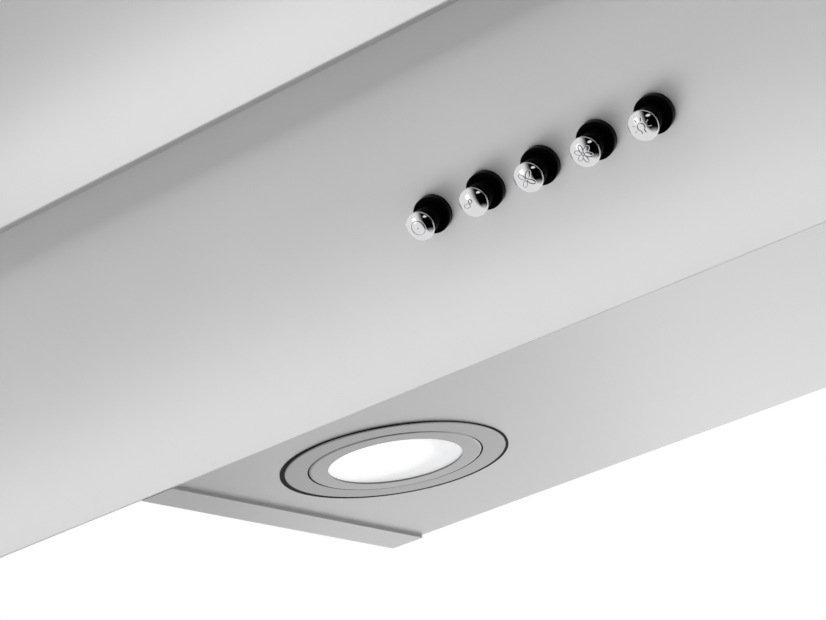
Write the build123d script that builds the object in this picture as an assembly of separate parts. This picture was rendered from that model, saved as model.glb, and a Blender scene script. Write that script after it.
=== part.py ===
from build123d import *
import os
from math import cos, radians, sin, sqrt, tan

# Angled wall hood. X runs along the hood, Y points into the wall, Z is up, all in millimetres.
# The origin lies on the wall plane, midway between the two keyholes that the hood hangs from.

# Overall sizes
hood_width = 600.0
body_width = 415.0
body_height = 400.0
base_depth = 142.7
fixing_height = 330.0

# Sheet metal
side_sheet = 1.2
sheet = 1.0
fold_radius = 0.6
seam = 0.3
flange_width = 15.0
inner_flange = 14.0

# Control fascia, which leans out over the cook
fascia_tilt = 37.7
fascia_height = 112.0
fascia_depth = 8.0

# Front panel, hinged at its top
panel_tilt = 25.0
panel_top_drop = 5.0
panel_depth = 11.3
panel_overhang = 107.0
panel_gap = 3.5
air_gap = 22.0

# Panel hinges
hinge_inset = 42.5
hinge_drop = 12.0
hinge_pin_radius = 3.0
hinge_eye_radius = 6.0
hinge_plate = 2.0
hinge_width = 26.0
hinge_foot = 32.0
hinge_screw_spacing = 13.0
hinge_clearance = 0.05
hinge_side_play = 0.4

# Magnet catches
catch_inset = 15.5
catch_width = 22.0
catch_height = 14.0
catch_above_edge = 14.0
catch_play = 0.5

# Grease filters
filter_width = 172.0
filter_below_top = 64.0
filter_thickness = 10.0
filter_spacing = 186.0
filter_above_edge = 42.0
filter_rail = 11.0
filter_rim = 4.0
filter_rim_thickness = 1.2
filter_play = 0.6
mesh_thickness = 2.0
mesh_columns = 8
mesh_rows = 13
mesh_strand = 3.2
latch_width = 34.0
latch_bolt_width = 20.0
latch_bolt_thickness = 2.2
latch_throw = 4.0
latch_travel = 5.0
latch_play = 0.4
latch_pull_height = 9.0
latch_pull_depth = 5.0

# Lamps
lamp_inset = 72.0
lamp_setback = 87.5
lamp_radius = 39.6
lamp_proud = 0.8
lamp_hole_radius = 35.0
lamp_spigot_depth = 12.0
lamp_wall = 1.6
lamp_edge_round = 0.4
seal_radius = 41.0
seal_thickness = 0.3
bezel_radius = 31.0
bezel_proud = 1.0
bezel_round = 0.7
bezel_play = 0.4
glass_radius = 24.9
glass_inset = 0.6
glass_thickness = 2.6
glass_lip = 0.8
glass_dish = 0.7
can_radius = 28.0
can_height = 36.0
can_fin_count = 5
can_fin_depth = 2.5
clip_width = 9.0
clip_sheet = 0.6
clip_reach = 12.0

# Push buttons
button_count = 5
button_pitch = 21.0
button_row = 51.0
collar_radius = 6.5
collar_height = 3.6
collar_round = 0.9
collar_spigot_radius = 5.5
collar_spigot_depth = 3.0
collar_hole_play = 0.1
stem_radius = 4.3
stem_play = 0.1
stem_back = 8.0
shank_width = 4.0
shank_length = 11.0
shank_play = 0.3
cap_radius = 4.6
cap_gap = 2.0
cap_wall_height = 2.2
cap_crown = 1.5
button_travel = 4.0

# Switch block behind the fascia
switch_height = 22.0
switch_depth = 25.0
switch_end = 7.0
switch_front = 12.5
switch_slot_depth = 16.0
switch_bracket_sheet = 1.5
switch_foot = 12.0

# Blower
wheel_radius = 75.0
wheel_inner_radius = 61.0
wheel_width = 124.0
wheel_disc = 2.0
wheel_ring = 3.0
wheel_hub_radius = 9.0
wheel_hub_length = 22.0
blade_count = 28
blade_thickness = 1.2
blade_bow = 3.2
blade_sweep = 7.0
scroll_wall = 2.5
scroll_width = 150.0
scroll_tongue_gap = 8.0
scroll_step = 10.0
scroll_setback = 105.0
scroll_drop = 185.0
inlet_radius = 59.0
inlet_lip = 6.0
outlet_setback = 126.0
motor_radius = 45.0
motor_length = 56.0
motor_standoff = 6.0
motor_round = 6.0
motor_boss_radius = 20.0
shaft_radius = 4.0
shaft_clearance = 0.05
spider_sheet = 3.0
spider_ring_radius = 30.0
spider_arm_count = 3
spider_arm_width = 14.0
spider_arm_reach = 70.0
spider_screw_circle = 65.0
mouth_flange = 10.0

# Outlet collar with its two flaps
duct_radius = 75.0
duct_wall = 2.0
duct_height = 55.0
duct_flange_width = 11.0
duct_flange_thickness = 2.5
duct_seat = 4.0
duct_seat_gap = 0.2
duct_seat_thickness = 1.6
duct_screw_count = 4
flap_pin_radius = 2.0
flap_pin_height = 20.0
flap_eye_radius = 3.6
flap_eye_length = 12.0
flap_thickness = 1.4
flap_play = 2.0
flap_root = 4.2
flap_eye_pitch = 24.0
flap_clearance = 0.05

# Electrics on the back panel
box_width = 90.0
box_depth = 40.0
box_height = 120.0
box_round = 3.0
box_inset = 8.0
box_lift = 180.0
capacitor_radius = 15.0
capacitor_length = 56.0
capacitor_gap = 14.0
capacitor_round = 2.0
gland_radius = 8.0
gland_bore = 4.0
gland_head_radius = 11.0
gland_head_height = 9.0
gland_stub = 8.0
gland_round = 2.5
gland_side = 100.0
gland_setback = 32.0

# Telescopic chimney
chimney_width = 260.0
chimney_depth = 245.0
chimney_height = 350.0
chimney_lip = 22.0
chimney_play = 0.6
chimney_rise = 45.0
chimney_screw_spacing = 122.5
chimney_tab_height = 24.0
chimney_tab_length = 30.0
vent_count = 7
vent_width = 6.0
vent_height = 60.0
vent_pitch = 16.0
vent_drop = 62.0
bracket_sheet = 1.5
bracket_height = 30.0
bracket_tab = 26.0
bracket_drop = 12.0
bracket_hole_spacing = 180.0
bracket_screw_setback = 15.0

# Fixings
keyhole_spacing = 300.0
keyhole_head_radius = 6.0
keyhole_slot_radius = 2.8
keyhole_slot_rise = 14.0
safety_hole_spacing = 340.0
safety_hole_radius = 3.0
safety_hole_drop = 230.0
screw_radius = 2.0
screw_head_radius = 3.8
screw_head_height = 2.2
screw_length = 6.0
bracket_hole_radius = 3.2

# Levels and planes worked out from the sizes above
underside = -fixing_height
top = underside + body_height
tray_level = underside + side_sheet


def incline(y, z, tilt):
    """Plane of a leaning face: x along the hood, y up the slope, z out towards the cook."""
    out = Vector(0, -cos(radians(tilt)), -sin(radians(tilt)))
    return Plane(origin=(0, y, z), x_dir=(1, 0, 0), z_dir=out)


fascia_plane = incline(-base_depth, underside, fascia_tilt)
panel_back_edge = fascia_plane.from_local_coords(Vector(0, panel_overhang, panel_gap))
panel_edge = panel_back_edge + incline(0, 0, panel_tilt).z_dir * panel_depth
panel_plane = incline(panel_edge.Y, panel_edge.Z, panel_tilt)
panel_height = (top - panel_top_drop - panel_edge.Z) / cos(radians(panel_tilt))
filter_height = panel_height - filter_above_edge - filter_below_top
panel_back = -panel_depth
wall_front = panel_back - air_gap
wall_back = wall_front - sheet
hinge_v = panel_height - hinge_drop
hinge_h = (panel_back + wall_front) / 2
cap_back = collar_height + button_travel + cap_gap
scroll_y = -scroll_setback
scroll_z = top - scroll_drop
outlet_y = -outlet_setback


def block(x0, x1, y0, y1, z0, z1):
    """Box between two corners."""
    return Pos((x0 + x1) / 2, (y0 + y1) / 2, (z0 + z1) / 2) * Box(x1 - x0, y1 - y0, z1 - z0)


def slab(points, x0, x1):
    """Solid with a side profile of (y, z) points, from x0 to x1."""
    outline = Polyline(*[(x0, y, z) for y, z in points], close=True)
    return extrude(make_face(outline), x1 - x0, dir=(1, 0, 0))


def on_slope(plane, v, h):
    """Side view position of a point on a leaning plane."""
    place = plane.from_local_coords(Vector(0, v, h))
    return place.Y, place.Z


def meet_level(plane, h, z):
    """Side view position where the layer h of a leaning plane reaches the level z."""
    y0, z0 = on_slope(plane, 0, h)
    lean = -plane.y_dir.Y / plane.y_dir.Z
    return y0 - (z - z0) * lean, z


def pan(width, height, depth, thickness, fold):
    """Folded tray: its face lies on z = 0 and its lips turn back."""
    outer = block(-width / 2, width / 2, 0, height, -depth, 0)
    outer = fillet(outer.faces().sort_by(Axis.Z)[-1].edges(), fold)
    inner_side = width / 2 - thickness
    return outer - block(-inner_side, inner_side, thickness, height - thickness, -depth, -thickness)


def both_sides(x):
    """The left and right position of a mirrored pair."""
    return (-x, x)


def ring_of(points):
    """Solid turned about the Z axis from a profile of (radius, z) points."""
    outline = Polyline(*[(r, 0, z) for r, z in points], close=True)
    return revolve(make_face(outline), Axis.Z)


def pan_head_screw(head_at, direction):
    """Screw whose head sits on head_at and whose shank points along direction."""
    seat = Plane(origin=head_at, z_dir=direction)
    shank = Cylinder(screw_radius, screw_length, align=(Align.CENTER, Align.CENTER, Align.MIN))
    head = Cylinder(screw_head_radius, screw_head_height, align=(Align.CENTER, Align.CENTER, Align.MAX))
    head = fillet(head.faces().sort_by(Axis.Z)[0].edges(), screw_head_height / 2)
    return seat * (shank + head)


def drill(solid, places, direction, radius, depth):
    """Round holes that start at each place and run along direction."""
    tool = Cylinder(radius, depth, align=(Align.CENTER, Align.CENTER, Align.MIN))
    for place in places:
        solid = solid - Plane(origin=place, z_dir=direction) * tool
    return solid


def group(solids):
    """Like pieces kept as separate solids in one node."""
    return Compound(children=list(solids))


parts = {}

# Body: two side panels, tray, back panel, top panel and filter wall
tray_top = tray_level + sheet
ledge_y, ledge_z = on_slope(fascia_plane, fascia_height, -fascia_depth)
edge_run = tan(radians(fascia_tilt))


def under_lip(z):
    """Depth at which the slanted underside of the fascia's bottom lip reaches the level z."""
    return -base_depth + (z - underside) / edge_run


def leaning_strip(plane, h0, h1, z0, z1, x0, x1):
    """Strip between two layers of a leaning plane and two levels."""
    corners = [meet_level(plane, h0, z0), meet_level(plane, h1, z0)]
    corners += [meet_level(plane, h1, z1), meet_level(plane, h0, z1)]
    return slab(corners, x0, x1)


def side_panel():
    """Right side wall with its three inward flanges, all folded from one sheet."""
    outer = body_width / 2
    inner = outer - side_sheet
    flange = inner - inner_flange
    profile = [
        (0, underside),
        (-base_depth, underside),
        on_slope(fascia_plane, 0, -fascia_depth),
        (ledge_y, ledge_z),
        meet_level(panel_plane, wall_back, ledge_z),
        meet_level(panel_plane, wall_back, top - sheet),
        (-sheet, top - sheet),
        (-sheet, tray_top),
        (0, tray_top),
    ]
    bottom = [(0, underside), (0, tray_level), (under_lip(tray_level), tray_level), (-base_depth, underside)]
    wall = slab(profile, inner, outer)
    fascia_flange = leaning_strip(
        fascia_plane, -fascia_depth - side_sheet, -fascia_depth,
        tray_top + inner_flange, ledge_z - inner_flange, flange, inner,
    )
    filter_flange = leaning_strip(
        panel_plane, wall_back - side_sheet, wall_back,
        ledge_z + inner_flange, top - inner_flange, flange, inner,
    )
    return wall + slab(bottom, outer - flange_width, inner) + fascia_flange + filter_flange


parts["side_panel_right"] = side_panel()
parts["side_panel_left"] = mirror(parts["side_panel_right"], Plane.YZ)

lamp_places = [(x, -lamp_setback, tray_level) for x in both_sides(body_width / 2 - lamp_inset)]
tray_profile = [
    (0, tray_level), (0, tray_top), (under_lip(tray_top), tray_top), (under_lip(tray_level), tray_level),
]
tray_side = body_width / 2 - side_sheet
parts["lamp_tray"] = drill(
    slab(tray_profile, -tray_side, tray_side), lamp_places, (0, 0, 1), lamp_hole_radius, sheet,
)

from_front = (Align.CENTER, Align.CENTER, Align.MIN)
key_slot = block(-keyhole_slot_radius, keyhole_slot_radius, -sheet, 0, 0, keyhole_slot_rise)
key_end = Rot(90, 0, 0) * Cylinder(keyhole_slot_radius, sheet, align=from_front)
key_head = Rot(90, 0, 0) * Cylinder(keyhole_head_radius, sheet, align=from_front)
keyhole = key_head + key_slot + Pos(0, 0, keyhole_slot_rise) * key_end
back_panel = block(-body_width / 2, body_width / 2, -sheet, 0, tray_top, top - sheet)
for x in both_sides(keyhole_spacing / 2):
    back_panel = back_panel - Pos(x, 0, 0) * keyhole
safety_holes = [(x, 0, -safety_hole_drop) for x in both_sides(safety_hole_spacing / 2)]
parts["back_panel"] = drill(back_panel, safety_holes, (0, -1, 0), safety_hole_radius, sheet)

duct_bore = duct_radius - duct_wall
chimney_inside = chimney_width / 2 - sheet
chimney_screw_y = [-chimney_depth / 2 + side for side in both_sides(chimney_screw_spacing / 2)]
chimney_screw_z = top + chimney_tab_height / 2
front_top = [meet_level(panel_plane, wall_back, z) for z in (top, top - sheet)]
top_panel = slab([(0, top - sheet), (0, top), *front_top], -body_width / 2, body_width / 2)
for y in chimney_screw_y:
    for x in both_sides(chimney_inside - sheet / 2):
        top_panel = top_panel + block(
            x - sheet / 2, x + sheet / 2,
            y - chimney_tab_length / 2, y + chimney_tab_length / 2, top, top + chimney_tab_height,
        )
        top_panel = drill(top_panel, [(x - sheet, y, chimney_screw_z)], (1, 0, 0), screw_radius, 2 * sheet)
duct_place = (0, outlet_y, top)
gland_place = (gland_side, -gland_setback, top)
duct_screw_circle = duct_radius + duct_flange_width / 2
duct_screw_angles = [(2 * i + 1) * 180 / duct_screw_count for i in range(duct_screw_count)]
duct_screws = [
    (duct_screw_circle * cos(radians(angle)), outlet_y + duct_screw_circle * sin(radians(angle)), top)
    for angle in duct_screw_angles
]
mouth_screws = [
    (x, outlet_y + y, top)
    for x in both_sides(scroll_width / 2 + mouth_flange / 2)
    for y in both_sides(duct_bore + scroll_wall + mouth_flange / 2)
]
top_panel = drill(top_panel, [duct_place], (0, 0, -1), duct_bore, sheet)
top_panel = drill(top_panel, [gland_place], (0, 0, -1), gland_radius, sheet)
parts["top_panel"] = drill(top_panel, duct_screws + mouth_screws, (0, 0, -1), screw_radius, sheet)

wall_profile = [
    (ledge_y, ledge_z),
    meet_level(panel_plane, wall_back, ledge_z),
    meet_level(panel_plane, wall_back, top),
    meet_level(panel_plane, wall_front, top),
    meet_level(panel_plane, wall_front, ledge_z + sheet),
    (ledge_y, ledge_z + sheet),
]
filter_wall = slab(wall_profile, -body_width / 2, body_width / 2)
filter_bottom = filter_above_edge
filter_top = filter_bottom + filter_height
for x in both_sides(filter_spacing / 2):
    half = filter_width / 2 + filter_play
    opening = block(
        x - half, x + half, filter_bottom - filter_play, filter_top + filter_play,
        wall_back - sheet, wall_front + sheet,
    )
    filter_wall = filter_wall - panel_plane * opening

# Control fascia and the row of push buttons
button_x = [(i - (button_count - 1) / 2) * button_pitch for i in range(button_count)]
button_axes = [fascia_plane.from_local_coords(Vector(x, button_row, 0)) for x in button_x]
fascia_out = fascia_plane.z_dir
collar_hole = collar_spigot_radius + collar_hole_play
fascia_shell = fascia_plane * pan(hood_width, fascia_height, fascia_depth, sheet, fold_radius)
parts["control_fascia"] = drill(fascia_shell, button_axes, -fascia_out, collar_hole, sheet)


def on_button(i, solid):
    """Places a piece modelled on the Z axis at button i."""
    return Plane(origin=button_axes[i], x_dir=(1, 0, 0), z_dir=fascia_out) * solid


def rod(radius, z0, z1):
    """Cylinder on the Z axis between two heights."""
    return Pos(0, 0, (z0 + z1) / 2) * Cylinder(radius, z1 - z0)


def collar():
    """Black bush that the button slides in, pushed through the fascia from the front."""
    body = fillet(rod(collar_radius, 0, collar_height).faces().sort_by(Axis.Z)[-1].edges(), collar_round)
    spigot = rod(collar_spigot_radius, -collar_spigot_depth, 0)
    return body + spigot - rod(stem_radius + stem_play, -collar_spigot_depth, collar_height)


def stem():
    """Black stem with the square shank that works the switch."""
    half = shank_width / 2
    shank = block(-half, half, -half, half, -stem_back - shank_length, -stem_back)
    return rod(stem_radius, -stem_back, cap_back) + shank


def cap():
    """Chrome cap: short straight wall and a domed face."""
    shoulder = cap_back + cap_wall_height
    crown = shoulder + cap_crown
    sphere = (cap_radius**2 + cap_crown**2) / (2 * cap_crown)
    middle = cap_radius / 2
    bulge = crown - sphere + sqrt(sphere**2 - middle**2)
    dome = ThreePointArc((cap_radius, 0, shoulder), (middle, 0, bulge), (0, 0, crown))
    sides = Polyline((0, 0, crown), (0, 0, cap_back), (cap_radius, 0, cap_back), (cap_radius, 0, shoulder))
    return revolve(make_face([dome, *sides.edges()]), Axis.Z)


parts["button_collars"] = group(on_button(i, collar()) for i in range(button_count))
for i in range(button_count):
    parts[f"button_stem_{i + 1}"] = on_button(i, stem())
    parts[f"button_cap_{i + 1}"] = on_button(i, cap())

switch_half = button_x[-1] + shank_width / 2 + switch_end
switch_back = -switch_front - switch_depth
row_bottom = button_row - switch_height / 2
row_top = button_row + switch_height / 2
switch_block = block(-switch_half, switch_half, row_bottom, row_top, switch_back, -switch_front)
slot_half = shank_width / 2 + shank_play
for x in button_x:
    switch_block = switch_block - block(
        x - slot_half, x + slot_half, button_row - slot_half, button_row + slot_half,
        -switch_front - switch_slot_depth, -switch_front,
    )
parts["switch_block"] = fascia_plane * switch_block

strap = switch_half + switch_bracket_sheet
foot_end = strap + switch_foot
foot_level = -sheet - switch_bracket_sheet
strap_outline = Polyline(
    (-foot_end, row_bottom, -sheet), (-switch_half, row_bottom, -sheet),
    (-switch_half, row_bottom, switch_back), (switch_half, row_bottom, switch_back),
    (switch_half, row_bottom, -sheet), (foot_end, row_bottom, -sheet),
    (foot_end, row_bottom, foot_level), (strap, row_bottom, foot_level),
    (strap, row_bottom, switch_back - switch_bracket_sheet),
    (-strap, row_bottom, switch_back - switch_bracket_sheet),
    (-strap, row_bottom, foot_level), (-foot_end, row_bottom, foot_level),
    close=True,
)
parts["switch_bracket"] = fascia_plane * extrude(make_face(strap_outline), switch_height, dir=(0, 1, 0))

# Front panel, its liner, hinges and magnets
parts["front_panel"] = panel_plane * pan(hood_width, panel_height, panel_depth, sheet, fold_radius)
liner_side = hood_width / 2 - sheet
liner = block(-liner_side, liner_side, sheet, panel_height - sheet, panel_back, -sheet)
liner_hollow = liner_side - sheet
liner = liner - block(
    -liner_hollow, liner_hollow, 2 * sheet, panel_height - 2 * sheet, panel_back + sheet, -sheet,
)
parts["panel_liner"] = panel_plane * liner


def hinge_eye(width, foot_from, foot_to, foot_level, bore):
    """Plate that runs from a foot to the round eye of the hinge."""
    eye = Pos(hinge_v, hinge_h) * Circle(hinge_eye_radius)
    foot = Line((foot_from, foot_level), (foot_to, foot_level))
    outline = make_hull([*eye.edges(), *foot.edges()])
    plate = extrude(Plane.YZ * outline, width / 2, both=True)
    return plate - Pos(0, hinge_v, hinge_h) * Rot(0, 90, 0) * Cylinder(bore, width)


def hinge_bracket():
    """Two ears on a foot, screwed to the filter wall."""
    foot = block(
        -hinge_width / 2, hinge_width / 2, hinge_v - hinge_foot, hinge_v - hinge_plate,
        wall_front, wall_front + hinge_plate,
    )
    ear_foot = hinge_v - hinge_foot / 2
    ear = hinge_eye(hinge_plate, ear_foot, hinge_v - hinge_plate, wall_front, hinge_pin_radius)
    for x in both_sides((hinge_width - hinge_plate) / 2):
        foot = foot + Pos(x, 0, 0) * ear
    return foot


def hinge_arm():
    """Eye between the ears, welded to the liner."""
    width = hinge_width - 2 * hinge_plate - 2 * hinge_side_play
    foot = block(-width / 2, width / 2, hinge_v - hinge_foot, hinge_v, panel_back - hinge_plate, panel_back)
    eye = hinge_eye(
        width, hinge_v - hinge_foot / 2, hinge_v, panel_back, hinge_pin_radius + hinge_clearance,
    )
    return foot + eye


def hinge_pin():
    """Pin through both ears, headed at each end."""
    half = hinge_width / 2
    head = rod(hinge_eye_radius - hinge_plate / 2, half, half + hinge_plate)
    head = fillet(head.faces().sort_by(Axis.Z)[-1].edges(), hinge_plate / 2)
    pin = rod(hinge_pin_radius, -half, half) + head + Rot(180, 0, 0) * head
    return Pos(0, hinge_v, hinge_h) * Rot(0, 90, 0) * pin


hinge_x = both_sides(body_width / 2 - hinge_inset)
hinge_screw_v = hinge_v - hinge_foot + screw_head_radius
hinge_screws = [
    panel_plane.from_local_coords(Vector(x + offset, hinge_screw_v, wall_front + hinge_plate))
    for x in hinge_x
    for offset in both_sides(hinge_screw_spacing / 2)
]
inwards = -panel_plane.z_dir
parts["filter_wall"] = drill(filter_wall, hinge_screws, inwards, screw_radius, hinge_plate + sheet)
parts["hinge_brackets"] = group(
    drill(panel_plane * Pos(x, 0, 0) * hinge_bracket(), hinge_screws, inwards, screw_radius, hinge_plate)
    for x in hinge_x
)
parts["hinge_arms"] = group(panel_plane * Pos(x, 0, 0) * hinge_arm() for x in hinge_x)
parts["hinge_pins"] = group(panel_plane * Pos(x, 0, 0) * hinge_pin() for x in hinge_x)

magnet = block(
    -catch_width / 2, catch_width / 2, catch_above_edge, catch_above_edge + catch_height,
    wall_front, panel_back - catch_play,
)
catch_x = both_sides(body_width / 2 - catch_inset)
parts["catch_magnets"] = group(panel_plane * Pos(x, 0, 0) * magnet for x in catch_x)

# Grease filters with their spring latches
rail_front = wall_front + filter_rim_thickness
rail_back = rail_front - filter_thickness
lip = filter_rim_thickness
window_half = filter_width / 2 - filter_rail
bolt_front = wall_back - latch_play
bolt_back = bolt_front - latch_bolt_thickness
neck_half = latch_bolt_width / 2 - latch_throw
neck_top = filter_top - latch_travel
neck_bottom = neck_top - latch_throw


def filter_frame():
    """Channel frame with a rim that rests on the filter wall and slots for the latch."""
    half = filter_width / 2
    frame = block(-half, half, filter_bottom, filter_top, rail_back, rail_front)
    rim = block(
        -half - filter_rim, half + filter_rim, filter_bottom - filter_rim, filter_top + filter_rim,
        wall_front, rail_front,
    )
    channel = block(
        lip - half, half - lip, filter_bottom + lip, filter_top - lip, rail_back + lip, rail_front - lip,
    )
    window = block(
        -window_half, window_half, filter_bottom + filter_rail, filter_top - filter_rail,
        rail_back, rail_front,
    )
    bolt_slot = block(
        -latch_bolt_width / 2 - latch_play, latch_bolt_width / 2 + latch_play,
        filter_top - lip, filter_top,
        bolt_back - latch_play, bolt_front + latch_play,
    )
    neck_slot = block(
        -neck_half - latch_play, neck_half + latch_play,
        neck_bottom - latch_travel - latch_play, neck_top + latch_play,
        rail_front - lip, rail_front,
    )
    return frame + rim - channel - window - bolt_slot - neck_slot


def filter_mesh():
    """Expanded metal sheet, a net of diamond gaps held in the frame's channel."""
    edge_x = filter_width / 2 - lip
    back = rail_back + lip
    sheet_low = filter_bottom + lip
    sheet_high = filter_top - lip
    net = block(-edge_x, edge_x, sheet_low, sheet_high, back, back + mesh_thickness)
    pitch_x = 2 * window_half / mesh_columns
    pitch_v = (filter_height - 2 * filter_rail) / mesh_rows
    reach_x = (pitch_x - mesh_strand) / 2
    reach_v = (pitch_v - mesh_strand) / 2
    diamond = make_face(Polyline((reach_x, 0), (0, reach_v), (-reach_x, 0), (0, -reach_v), close=True))
    places = []
    for row in range(mesh_rows):
        for column in range(mesh_columns):
            x = (2 * column + 1) * pitch_x / 2 - window_half
            v = filter_bottom + filter_rail + (2 * row + 1) * pitch_v / 2
            places.append(Pos(x, v, back) * diamond)
    gaps = [extrude(place, mesh_thickness, dir=(0, 0, 1)) for place in places]
    return net - gaps


def filter_latch():
    """Finger pull in front, bolt behind the wall, and the neck that joins them."""
    face = rail_front + latch_play
    pull = block(
        -latch_width / 2, latch_width / 2, neck_top - latch_pull_height, neck_top, face, face + lip,
    )
    ridge = block(
        -latch_width / 2, latch_width / 2, neck_top - latch_pull_height, neck_top - latch_pull_height + lip,
        face, face + latch_pull_depth,
    )
    neck = block(-neck_half, neck_half, neck_bottom, neck_top, bolt_back, face)
    bolt = block(
        -latch_bolt_width / 2, latch_bolt_width / 2, neck_bottom, filter_top + filter_play + latch_throw,
        bolt_back, bolt_front,
    )
    return pull + ridge + neck + bolt


for side, x in zip(("left", "right"), both_sides(filter_spacing / 2)):
    place = panel_plane * Pos(x, 0, 0)
    parts[f"filter_frame_{side}"] = place * filter_frame()
    parts[f"filter_mesh_{side}"] = place * filter_mesh()
    parts[f"filter_latch_{side}"] = place * filter_latch()

# Blower: scroll in two halves, wheel, motor and its spider
axle_plane = Plane(origin=(0, scroll_y, scroll_z), x_dir=(0, 1, 0), z_dir=(1, 0, 0))
mouth_z = top - sheet
scroll_half = scroll_width / 2
lip_face = scroll_half + spider_sheet


def volute(wall):
    """Spiral of three quarter arcs that opens into the outlet, grown outwards by wall."""
    radius = wheel_radius + scroll_tongue_gap + wall
    mouth = duct_bore + wall
    radii = [radius, radius + scroll_step, radius + 2 * scroll_step]
    shifted = scroll_y - scroll_step
    raised = scroll_z + scroll_step
    centres = [(scroll_y, scroll_z), (shifted, scroll_z), (shifted, raised)]
    starts = [90, 0, -90]
    arcs = []
    for (y, z), r, start in zip(centres, radii, starts):
        turns = [radians(start), radians(start - 45), radians(start - 90)]
        arcs.append(ThreePointArc(*[(0, y + r * cos(turn), z + r * sin(turn)) for turn in turns]))
    sides = Polyline(
        (0, shifted - radii[2], raised), (0, outlet_y - mouth, mouth_z),
        (0, outlet_y + mouth, mouth_z), (0, scroll_y, scroll_z + radius),
    )
    return make_face([*arcs, *sides.edges()])


def scroll_shell():
    """Right half of the moulded scroll, with the rounded lip of its inlet."""
    shell = extrude(volute(scroll_wall), scroll_half, dir=(1, 0, 0))
    mouth = duct_bore + scroll_wall + mouth_flange
    shell = shell + block(
        0, scroll_half + mouth_flange, outlet_y - mouth, outlet_y + mouth, mouth_z - scroll_wall, mouth_z,
    )
    shell = shell - extrude(volute(0), scroll_half - scroll_wall, dir=(1, 0, 0))
    under_top = [(x, y, mouth_z) for x, y, z in mouth_screws if x > 0]
    shell = drill(shell, under_top, (0, 0, -1), screw_radius, scroll_wall)
    rim = rod(inlet_radius + inlet_lip + screw_head_radius, scroll_half, lip_face)
    shell = shell + axle_plane * rim - axle_plane * rod(inlet_radius, 0, lip_face + sheet)
    rounded = shell.edges().filter_by(GeomType.CIRCLE).filter_by(
        lambda edge: abs(edge.radius - inlet_radius) < seam and edge.center().X > lip_face - seam
    )
    return fillet(rounded, spider_sheet - seam)


spider_angles = [90 + i * 360 / spider_arm_count for i in range(spider_arm_count)]
spider_screws = [
    axle_plane.from_local_coords(Vector(spider_screw_circle, 0, lip_face).rotate(Axis.Z, angle))
    for angle in spider_angles
]
half_scroll = scroll_shell()
parts["scroll_left"] = mirror(half_scroll, Plane.YZ)
parts["scroll_right"] = drill(half_scroll, spider_screws, (-1, 0, 0), screw_radius, screw_length)


def impeller():
    """Double inlet wheel: a disc, two rings and two rows of curved blades."""
    half = wheel_width / 2
    disc = rod(wheel_radius, -wheel_disc / 2, wheel_disc / 2)
    hub = rod(wheel_hub_radius, wheel_disc / 2 - wheel_hub_length, wheel_disc / 2 + wheel_disc)
    ring_inner = wheel_radius - (wheel_radius - wheel_inner_radius) / 2
    ring = rod(wheel_radius, half - wheel_ring, half) - rod(ring_inner, half - wheel_ring, half)
    tip_x = (wheel_radius - blade_thickness / 2) * cos(radians(blade_sweep))
    tip_y = -(wheel_radius - blade_thickness / 2) * sin(radians(blade_sweep))
    mid_x = (wheel_inner_radius + tip_x) / 2
    mid_y = tip_y / 2 + blade_bow
    front = ThreePointArc((wheel_inner_radius, 0), (mid_x, mid_y), (tip_x, tip_y))
    back = ThreePointArc(
        (wheel_inner_radius, -blade_thickness),
        (mid_x, mid_y - blade_thickness),
        (tip_x, tip_y - blade_thickness),
    )
    root = Line((wheel_inner_radius, 0), (wheel_inner_radius, -blade_thickness))
    tip = Line((tip_x, tip_y), (tip_x, tip_y - blade_thickness))
    blade = extrude(make_face([front, tip, back, root]), wheel_width - wheel_ring)
    blade = Pos(0, 0, -half + wheel_ring / 2) * blade
    blades = [Rot(0, 0, 360 / blade_count * i) * blade for i in range(blade_count)]
    wheel = disc + hub + ring + mirror(ring, Plane.XY) + blades
    return wheel - rod(shaft_radius, -wheel_hub_length, wheel_hub_length)


motor_back = motor_standoff + motor_length


def motor():
    """Closed can that reaches into the wheel, with the boss that the spider holds."""
    can = rod(motor_radius, motor_standoff, motor_back)
    can = fillet(can.edges(), motor_round)
    boss = rod(motor_boss_radius, motor_back, lip_face)
    bore = rod(shaft_radius + shaft_clearance, motor_standoff, motor_back)
    return can + boss - bore


def motor_spider():
    """Ring with three arms, screwed to the lip of the right inlet."""
    outer = lip_face + spider_sheet
    spider = rod(spider_ring_radius, lip_face, outer)
    for angle in spider_angles:
        arm = block(0, spider_arm_reach, -spider_arm_width / 2, spider_arm_width / 2, lip_face, outer)
        spider = spider + Rot(0, 0, angle) * arm
    return axle_plane * spider


parts["impeller"] = axle_plane * impeller()
parts["motor_shaft"] = axle_plane * rod(shaft_radius, -wheel_hub_length, motor_back - sheet)
parts["motor"] = axle_plane * motor()
spider_faces = [place + Vector(spider_sheet, 0, 0) for place in spider_screws]
parts["motor_spider"] = drill(motor_spider(), spider_faces, (-1, 0, 0), screw_radius, spider_sheet)

# Outlet collar and its two flaps, which hang on one pin
pin_level = top + flap_pin_height
pin_half = duct_radius - duct_wall / 2


def pin_hole(radius, half_length, x=0):
    """Cylinder along the flap pin."""
    return Pos(x, outlet_y, pin_level) * Rot(0, 90, 0) * Cylinder(radius, 2 * half_length)


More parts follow.
